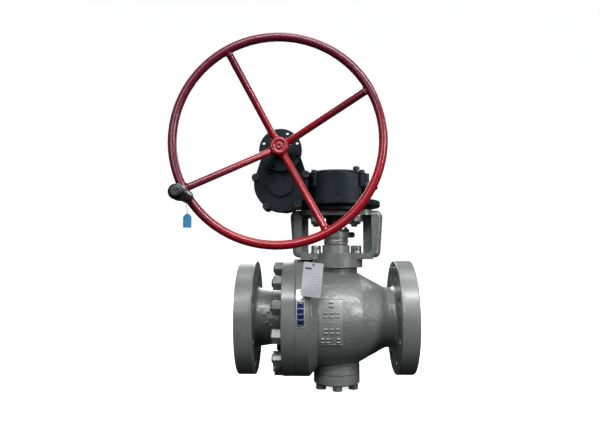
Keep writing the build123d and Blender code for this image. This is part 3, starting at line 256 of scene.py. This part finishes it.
def bare_metal(name, color, rough=0.30, rings=None, metallic=1.0, threads=None, pitch=0.002):
    """Turned or plated metal. rings is the axis of its turning marks, threads that of its screw thread."""
    s = Shader(name)
    s.set(Metallic=metallic)
    shade = s.mix(s.noise(48, 4, 0.6), scaled(color, 0.72), color)
    stain = s.ramp(s.noise(130, 5, 0.7), 0.60, 0.76, 0.0, 0.55)
    shade = s.mix(stain, shade, scaled(color, 0.45))
    level = s.ramp(s.noise(70, 3), 0.3, 0.7, rough - 0.07, rough + 0.10)
    normal = s.bump(s.noise(420, 3), 0.0002, 0.35)
    if rings:
        stretch = tuple(1600 if letter == rings else 4 for letter in "XYZ")
        normal = s.bump(s.noise(1.0, 2, 0.5, stretch=stretch), 0.00012, 0.5, normal)
    if threads:
        crest = s.math("SINE", s.times(s.axis(threads), 2 * math.pi / pitch))
        normal = s.bump(crest, 0.0006, 0.9, normal)
        # Painted shade: the roots of the thread are darkened.
        shade = s.mix(s.ramp(crest, -0.9, 0.2, 0.55, 0.0), shade, scaled(color, 0.3))
    return s.finish(shade, level, normal)


def soft_stuff(name, color, other, rough, scale=220, bump=0.0003, coat=0.0):
    """Plastic, rubber and graphite: two tones, uneven gloss, fine texture."""
    s = Shader(name)
    s.set(Coat_Weight=coat, Coat_Roughness=0.2)
    shade = s.mix(s.noise(scale * 0.3, 4, 0.6), color, other)
    level = s.ramp(s.noise(scale * 0.5, 3), 0.3, 0.7, rough - 0.06, rough + 0.08)
    normal = s.bump(s.noise(scale * 4, 4, 0.6), bump, 0.5)
    return s.finish(shade, level, normal)


def ruled_card(name):
    """White card with one dark bar, faint broken form lines and no writing."""
    s = Shader(name)
    s.set(Specular_IOR_Level=0.35)
    shade = s.mix(s.noise(60, 4, 0.6), (0.46, 0.48, 0.52), (0.53, 0.55, 0.60))
    x = s.axis("X")
    slope = 0.105
    up_card = s.plus(s.axis("Z"), s.times(x, slope))
    form = s.times(s.between(x, -0.0755, -0.0415, 0.0005), s.between(up_card, 0.058, 0.108, 0.0005))
    breaks = s.ramp(s.noise(1.0, 1, 0.4, stretch=(150, 0.1, 340)), 0.40, 0.46)
    ink = s.times(s.times(s.stripes(up_card, 0.0030, 0.00042), form), breaks)
    shade = s.mix(s.times(ink, 0.62), shade, (0.16, 0.17, 0.22))
    bar = s.times(s.between(x, -0.0740, -0.0600, 0.0003), s.between(up_card, 0.1125, 0.1160, 0.0003))
    shade = s.mix(bar, shade, (0.02, 0.02, 0.03))
    normal = s.bump(s.noise(700, 3), 0.0001, 0.4)
    return s.finish(shade, 0.48, normal)


def printed_plate(name):
    """Thin bright plate with a plain blue field in bands and bare margins."""
    s = Shader(name)
    s.set(Metallic=0.75)
    x = s.axis("X")
    z = s.axis("Z")
    shade = s.mix(s.noise(90, 4), (0.55, 0.56, 0.57), (0.72, 0.73, 0.74))
    field = s.times(s.between(x, -0.0925, -0.0770, 0.0002), s.between(z, -0.0065, 0.0460, 0.0004))
    field = s.times(field, s.minus(1.0, s.stripes(z, 0.006, 0.0006)))
    shade = s.mix(field, shade, (0.012, 0.030, 0.130))
    rough = s.ramp(s.noise(120, 3), 0.3, 0.7, 0.20, 0.34)
    normal = s.bump(s.noise(60, 3), 0.0006, 0.4)
    return s.finish(shade, rough, normal)


def body_cast(s):
    """The body is as cast between its joint face and flange, and between its lower and upper faces."""
    along = s.between(s.axis("X"), -0.060, 0.1455, 0.003)
    up = s.between(s.axis("Z"), -0.131, 0.1205, 0.002)
    return s.times(along, up)


def closure_cast(s):
    """The end closure is as cast on its neck."""
    return s.between(s.axis("X"), -0.2005, -0.1300, 0.001)


ROUGH_CAST = 0.8
FINE_CAST = 0.35
HARDLY_CAST = 0.12

paint_body = grey_paint("paint_body", body_cast)
paint_closure = grey_paint("paint_closure", closure_cast)
paint_yoke = grey_paint("paint_yoke", ROUGH_CAST, tone=0.80)
paint_smooth = grey_paint("paint_smooth", HARDLY_CAST)
# A darker copy of the grey paint: the bottom bolts' own darker grey, and painted shade on the body nuts,
# whose paint is the body's grey.
paint_bolt = grey_paint("paint_bolt", HARDLY_CAST, tone=0.72)
# The raised marks get a lighter copy of the grey paint: a painted highlight on their tops.
paint_marks = grey_paint("paint_marks", FINE_CAST, tone=1.35)
black_case = black_paint("black_case")
black_smooth = black_paint("black_smooth", lump=0.25)
red = red_enamel("red_enamel")
studs_x = bare_metal("studs_x", (0.42, 0.43, 0.42), 0.34, threads="X", pitch=0.0022)
studs_z = bare_metal("studs_z", (0.40, 0.40, 0.38), 0.36, threads="Z", pitch=0.0020)
screws_y = bare_metal("screws_y", (0.12, 0.12, 0.12), 0.40, rings="Y")
screws_black = bare_metal("screws_black", (0.045, 0.047, 0.050), 0.40, metallic=0.7)
turned_x = bare_metal("turned_x", (0.60, 0.60, 0.59), 0.28, rings="X")
turned_y = bare_metal("turned_y", (0.55, 0.55, 0.54), 0.30, rings="Y")
turned_z = bare_metal("turned_z", (0.62, 0.63, 0.60), 0.27, rings="Z")
plain_steel = bare_metal("plain_steel", (0.50, 0.50, 0.48), 0.33)
ball_chrome = bare_metal("ball_chrome", (0.80, 0.81, 0.82), 0.12)
bronze = bare_metal("bronze", (0.56, 0.36, 0.15), 0.34, rings="Z")
wire_pale = bare_metal("wire_pale", (0.62, 0.60, 0.52), 0.36)
polymer = soft_stuff("seat_polymer", (0.74, 0.73, 0.68), (0.66, 0.64, 0.58), 0.40)
graphite = soft_stuff("graphite", (0.030, 0.030, 0.032), (0.055, 0.055, 0.058), 0.52, scale=400)
rubber = soft_stuff("seal_rubber", (0.012, 0.012, 0.012), (0.022, 0.022, 0.022), 0.62)
knob_black = soft_stuff("knob_black", (0.0020, 0.0030, 0.0042), (0.0050, 0.0066, 0.0085), 0.40,
                        scale=160, coat=0.06)
tag_blue = soft_stuff("tag_blue", (0.020, 0.190, 0.430), (0.030, 0.250, 0.520), 0.42,
                      scale=140, bump=0.0005)
tie_dark = soft_stuff("tie_dark", (0.035, 0.034, 0.055), (0.060, 0.058, 0.085), 0.45, scale=300)
card = ruled_card("card")
plate = printed_plate("printed_plate")

LOOKS = {
    paint_body: ("body",),
    paint_closure: ("end_closure",),
    paint_yoke: ("yoke",),
    paint_smooth: ("bottom_cover", "bonnet", "gland_follower"),
    paint_bolt: ("body_nuts", "bottom_bolts"),
    black_case: ("gear_housing", "gear_cover", "gear_head", "gear_head_cover"),
    black_smooth: ("rear_cap", "drive_sleeve", "indicator"),
    red: ("handwheel",),
    studs_x: ("body_studs",),
    studs_z: ("gearbox_studs", "gland_studs"),
    screws_y: ("stop_screws",),
    screws_black: ("cover_screws", "head_screws", "tunnel_screws", "vent_plug", "gland_nuts",
                   "packing_fitting"),
    turned_x: ("seat_rings",),
    turned_y: ("worm", "pinion_shaft", "shaft_bearings", "spur_gear"),
    turned_z: ("stem", "lower_trunnion", "yoke_screws"),
    plain_steel: ("gearbox_nuts", "drive_keys", "spur_key", "seat_springs", "hub_pin", "knob_pin"),
    ball_chrome: ("ball",),
    bronze: ("worm_wheel", "stem_bush", "trunnion_bush"),
    wire_pale: ("tag_wire",),
    polymer: ("seat_inserts", "thrust_washer", "trunnion_washer"),
    graphite: ("gland_packing", "body_gasket", "bottom_gasket"),
    rubber: ("o_rings", "seat_o_rings"),
    knob_black: ("knob",),
    tag_blue: ("blue_tag",),
    tie_dark: ("tag_tie",),
    card: ("white_tag",),
    plate: ("name_plate",),
}
for material, names in LOOKS.items():
    for name in names:
        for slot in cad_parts[name].material_slots:
            slot.material = material


# ------------------------------------------------------------------ mesh helpers

def mesh_object(name, bm, material):
    """A smooth shaded object in the scene, made from a finished bmesh."""
    mesh = bpy.data.meshes.new(name)
    bm.to_mesh(mesh)
    bm.free()
    mesh.polygons.foreach_set("use_smooth", [True] * len(mesh.polygons))
    mesh.materials.append(material)
    made = bpy.data.objects.new(name, mesh)
    bpy.context.scene.collection.objects.link(made)
    return made


def new_piece(name, bm, material, body):
    piece = mesh_object(name, bm, material)
    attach(piece, body)


def tree_of(node):
    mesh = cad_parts[node].data
    return BVHTree.FromPolygons([v.co[:] for v in mesh.vertices], [p.vertices[:] for p in mesh.polygons])


def join_rings(bm, a, b):
    """Faces between two closed rings of as many vertices."""
    count = len(a)
    for k in range(count):
        bm.faces.new((a[k], a[(k + 1) % count], b[(k + 1) % count], b[k]))


def lathe(bm, profile, centre, axis, sides=48):
    """Solid of revolution. profile is a closed loop of (radius, distance along axis) pairs."""
    axis = Vector(axis).normalized()
    side = axis.orthogonal().normalized()
    over = axis.cross(side)
    least_r = 1e-6
    rings = []
    for r, d in profile:
        ring = []
        for k in range(sides):
            t = 2 * math.pi * k / sides
            outward = side * math.cos(t) + over * math.sin(t)
            ring.append(bm.verts.new(Vector(centre) + axis * d + outward * max(r, least_r)))
        rings.append(ring)
    for i, ring in enumerate(rings):
        join_rings(bm, ring, rings[(i + 1) % len(rings)])


def front_point(tree, x, z, lift):
    """Point on the -Y side of a casting at x, z, raised from its surface by lift."""
    hit, normal, _, _ = tree.ray_cast(Vector((x, AHEAD_Y, z)), Vector((0, 1, 0)))
    if hit is None:
        return None
    if normal.y > 0:
        normal = -normal
    return hit + normal * lift


def raised_patch(bm, tree, x0, x1, z0, z1, height, step=0.0012, soft=0.0010, turn=0.0):
    """A low raised patch on the front of a casting with rounded shoulders, following its surface."""
    sunk = -0.0006
    columns = max(4, int((x1 - x0) / step))
    rows = max(4, int((z1 - z0) / step))
    mid_x, mid_z = (x0 + x1) / 2, (z0 + z1) / 2
    grid = []
    for i in range(columns + 1):
        line = []
        for j in range(rows + 1):
            x = x0 + (x1 - x0) * i / columns
            z = z0 + (z1 - z0) * j / rows
            edge = min(x - x0, x1 - x, z - z0, z1 - z)
            lift = height * min(1.0, edge / soft) ** 0.6 if edge > 0 else sunk
            dx, dz = x - mid_x, z - mid_z
            px = mid_x + dx * math.cos(turn) - dz * math.sin(turn)
            pz = mid_z + dx * math.sin(turn) + dz * math.cos(turn)
            point = front_point(tree, px, pz, lift)
            line.append(bm.verts.new(point) if point is not None else None)
        grid.append(line)
    for i in range(columns):
        for j in range(rows):
            corners = (grid[i][j], grid[i + 1][j], grid[i + 1][j + 1], grid[i][j + 1])
            if all(corners):
                bm.faces.new(corners)


# ------------------------------------------------------------------ added pieces

def cast_marks(tree):
    """Marking pad with a raised border and rows of plain bars in pairs, with no lettering."""
    bm = bmesh.new()
    x0, x1 = PAD_X
    z0, z1 = PAD_Z
    edge = 0.0020
    raised_patch(bm, tree, x0, x1, z0, z1, 0.0009)
    borders = ((x0, x1, z1 - edge, z1), (x0, x1, z0, z0 + edge),
               (x0, x0 + edge, z0, z1), (x1 - edge, x1, z0, z1))
    for left, right, low, high in borders:
        raised_patch(bm, tree, left, right, low, high, 0.0019, step=FINE_STEP)
    raised_patch(bm, tree, -0.036, 0.001, -0.0019, -0.0001, 0.0036, step=FINE_STEP, soft=0.0014)
    # A row is its middle height, how tall it is, and where each pair of bars starts and how wide it is.
    rows = (
        (0.038, 0.0125, ((-0.0215, 0.0105),)),
        (0.016, 0.0130, ((-0.0345, 0.0100), (-0.0210, 0.0100), (-0.0075, 0.0100))),
        (-0.0195, 0.0130, ((-0.0335, 0.0105), (-0.0195, 0.0090), (-0.0070, 0.0090))),
        (-0.0410, 0.0120, ((-0.0400, 0.0090), (-0.0280, 0.0085), (-0.0165, 0.0030), (-0.0050, 0.0100))),
    )
    for z, tall, pairs in rows:
        half = tall / 2
        gap = tall * 0.14
        for x, wide in pairs:
            for low, high in ((z - half, z - gap), (z + gap, z + half)):
                raised_patch(bm, tree, x, x + wide, low, high, 0.0038, step=FINE_STEP, soft=0.0013)
    new_piece("cast_marks", bm, paint_marks, "valve_body")


def neck_marks(tree):
    """A short run of plain raised bars on the neck of the end closure, each turned less than the last."""
    bm = bmesh.new()
    wide = 0.0072
    half_tall = 0.0032
    places = ((-0.176, 0.012), (-0.166, 0.019), (-0.158, 0.003), (-0.170, -0.006), (-0.160, -0.014))
    for index, (x, z) in enumerate(places):
        raised_patch(bm, tree, x, x + wide, z - half_tall, z + half_tall, 0.0030, step=FINE_STEP,
                     turn=0.5 - 0.1 * index)
    new_piece("neck_marks", bm, paint_marks, "valve_body")


def weld_ring(bm, centre, along, side, over, fat):
    """An uneven ring of weld round a spoke, about as thick as twice fat."""
    reach = 0.0082
    steps, sides = 44, 10
    rings = []
    for k in range(steps):
        t = 2 * math.pi * k / steps
        radial = side * math.cos(t) + over * math.sin(t)
        saddle = 0.0030 * math.cos(t) ** 2 - 0.0012
        middle = centre + radial * reach + along * saddle
        size = fat * (1 + 0.16 * math.sin(11 * t) + 0.08 * (random.random() - 0.5))
        ring = []
        for m in range(sides):
            u = 2 * math.pi * m / sides
            ring.append(bm.verts.new(middle + radial * math.cos(u) * size + along * math.sin(u) * size))
        rings.append(ring)
    for k, ring in enumerate(rings):
        join_rings(bm, ring, rings[(k + 1) % steps])


def weld_beads():
    """Welds where each spoke meets the rim and the hub."""
    bm = bmesh.new()
    hub = Vector((WORM_X, HUB_Y, INPUT_Z))
    for angle in SPOKE_ANGLES:
        a = math.radians(angle)
        outward = Vector((math.cos(a), 0, math.sin(a)))
        rim = hub + outward * RIM_R + Vector((0, RIM_Y - HUB_Y, 0))
        along = (rim - hub).normalized()
        side = along.cross(Vector((0, 1, 0))).normalized()
        over = side.cross(along).normalized()
        weld_ring(bm, rim - along * RIM_WELD, along, side, over, 0.0019)
        weld_ring(bm, hub + along * HUB_WELD, along, side, over, 0.0017)
    new_piece("weld_beads", bm, red, "hand_wheel")


def hub_face():
    """Low ring and centre boss on the front of the hub."""
    bm = bmesh.new()
    profile = (
        (0.0, 0.0), (0.0, 0.0024), (0.0060, 0.0024), (0.0074, 0.0020), (0.0082, 0.0008), (0.0100, 0.0008),
        (0.0108, 0.0020), (0.0172, 0.0018), (0.0190, 0.0009), (0.0193, -0.0002), (0.0120, -0.0002),
    )
    lathe(bm, profile, (WORM_X, HUB_FRONT_Y, INPUT_Z), (0, -1, 0))
    new_piece("hub_face", bm, red, "hand_wheel")


cast_marks(tree_of("body"))
neck_marks(tree_of("end_closure"))
weld_beads()
hub_face()


# ------------------------------------------------------------------ floor, light and camera

def stage():
    """Pale round floor that curves up into a wall on every side, and glows so that it stays white."""
    bm = bmesh.new()
    floor_z = cad_box[0][2] - 0.0005
    floor_r, bend_r, wall_top = 5.0, 2.0, 12.0
    bend_steps, sides = 16, 72
    outline = [(0.5, floor_z), (floor_r, floor_z)]
    for k in range(1, bend_steps + 1):
        a = math.pi / 2 * k / bend_steps
        outline.append((floor_r + bend_r * math.sin(a), floor_z + bend_r - bend_r * math.cos(a)))
    outline.append((floor_r + bend_r, wall_top))
    turns = [2 * math.pi * k / sides for k in range(sides)]
    rings = [[bm.verts.new((r * math.cos(t), r * math.sin(t), z)) for t in turns] for r, z in outline]
    bm.faces.new(rings[0])
    for inner, outer in zip(rings, rings[1:]):
        join_rings(bm, outer, inner)
    s = Shader("studio_white")
    s.set(Specular_IOR_Level=0.1, Emission_Color=(1, 1, 1, 1), Emission_Strength=0.80)
    sweep = mesh_object("studio_sweep", bm, s.finish((0.93, 0.93, 0.93), 0.9))
    sweep.visible_diffuse = False
    sweep.visible_glossy = False
    sweep.visible_shadow = False


def studio_world():
    """Dim surroundings: darker below and at the sides, brighter overhead."""
    world = bpy.data.worlds.new("studio")
    world.use_nodes = True
    nodes, links = world.node_tree.nodes, world.node_tree.links
    direction = nodes.new("ShaderNodeTexCoord")
    axes = nodes.new("ShaderNodeSeparateXYZ")
    links.new(direction.outputs["Generated"], axes.inputs[0])
    level = nodes.new("ShaderNodeMapRange")
    links.new(axes.outputs["Z"], level.inputs["Value"])
    level.interpolation_type = "SMOOTHSTEP"
    level.inputs["From Min"].default_value = -0.25
    level.inputs["From Max"].default_value = 0.95
    level.inputs["To Min"].default_value = 0.015
    level.inputs["To Max"].default_value = 0.42
    links.new(level.outputs["Result"], nodes["Background"].inputs["Strength"])
    nodes["Background"].inputs["Color"].default_value = (0.97, 0.99, 1.0, 1)
    bpy.context.scene.world = world


def area_light(name, place, target, size, power, tall=None):
    """A lamp of size metres and power watts, square unless tall gives its other side."""
    light = bpy.data.lights.new(name, "AREA")
    light.energy = power
    light.size = size
    if tall:
        light.shape = "RECTANGLE"
        light.size_y = tall
    lamp = bpy.data.objects.new(name, light)
    lamp.location = place
    lamp.rotation_euler = (Vector(target) - Vector(place)).to_track_quat("-Z", "Y").to_euler()
    bpy.context.scene.collection.objects.link(lamp)


def front_camera():
    """The camera looks along +Y, tipped up and turned left by a few degrees."""
    lens = bpy.data.cameras.new("camera")
    lens.lens = LENS_MM
    lens.sensor_width = SENSOR_MM
    camera = bpy.data.objects.new("camera", lens)
    camera.location = CAMERA_PLACE
    camera.rotation_euler = (math.radians(90 + CAMERA_UP_DEG), 0, math.radians(CAMERA_LEFT_DEG))
    bpy.context.scene.collection.objects.link(camera)
    bpy.context.scene.camera = camera


stage()
studio_world()
area_light("strip", (0.5, -1.9, 2.05), (0.0, 0, 0.08), 3.0, 84, tall=0.32)
area_light("key", (-0.9, -2.2, 0.9), (-0.05, 0, 0.12), 0.7, 10)
area_light("fill", (1.5, -1.7, 0.7), (0.1, 0, 0.1), 0.5, 18)
area_light("top", (0.1, 0.1, 2.4), (0, 0, 0), 1.2, 20)
area_light("edge", (2.0, 1.4, 1.6), (0, 0, 0.1), 0.8, 20)
area_light("back", (-0.6, 2.4, 1.5), (0, 0, 0.1), 1.8, 42)
front_camera()
bpy.context.scene.view_settings.view_transform = "Standard"

bpy.context.view_layer.update()
